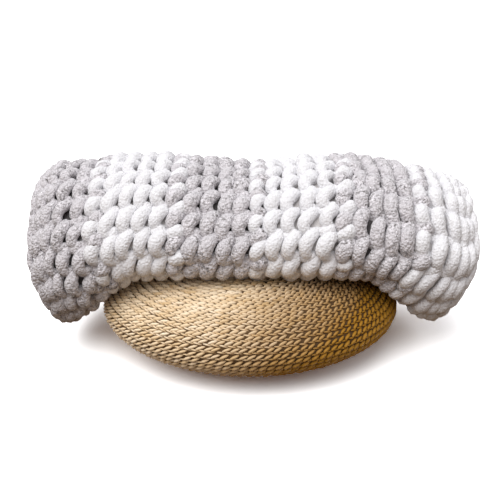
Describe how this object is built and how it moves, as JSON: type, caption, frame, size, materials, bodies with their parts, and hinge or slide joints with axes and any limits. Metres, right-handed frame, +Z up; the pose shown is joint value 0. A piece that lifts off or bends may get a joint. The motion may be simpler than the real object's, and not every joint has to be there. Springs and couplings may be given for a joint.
{
  "type": "chunky knit blanket folded over a round woven pouf",
  "caption": "Thick hand-knit blanket in grey and white bands, folded into a soft pad and laid saddle-wise over a low round braided pouf.",
  "frame": {"origin": "middle of the pouf's flat base, on the floor", "axes": "+X across the knitted courses, from the grey end to the white end; +Y to the cloth's free edges, away from its outer fold; +Z up"},
  "size_m": [0.856, 0.6, 0.3803],
  "materials": {
    "yarn_white": "soft matte chenille yarn, velvety pile",
    "yarn_grey": "heathered matte chenille yarn, velvety pile",
    "braided_straw": "braided dry plant fibre, satin strands"
  },
  "bodies": {
    "root": {"knit_blanket": "yarn_white", "woven_pouf": "braided_straw"}
  },
  "joints": []
}
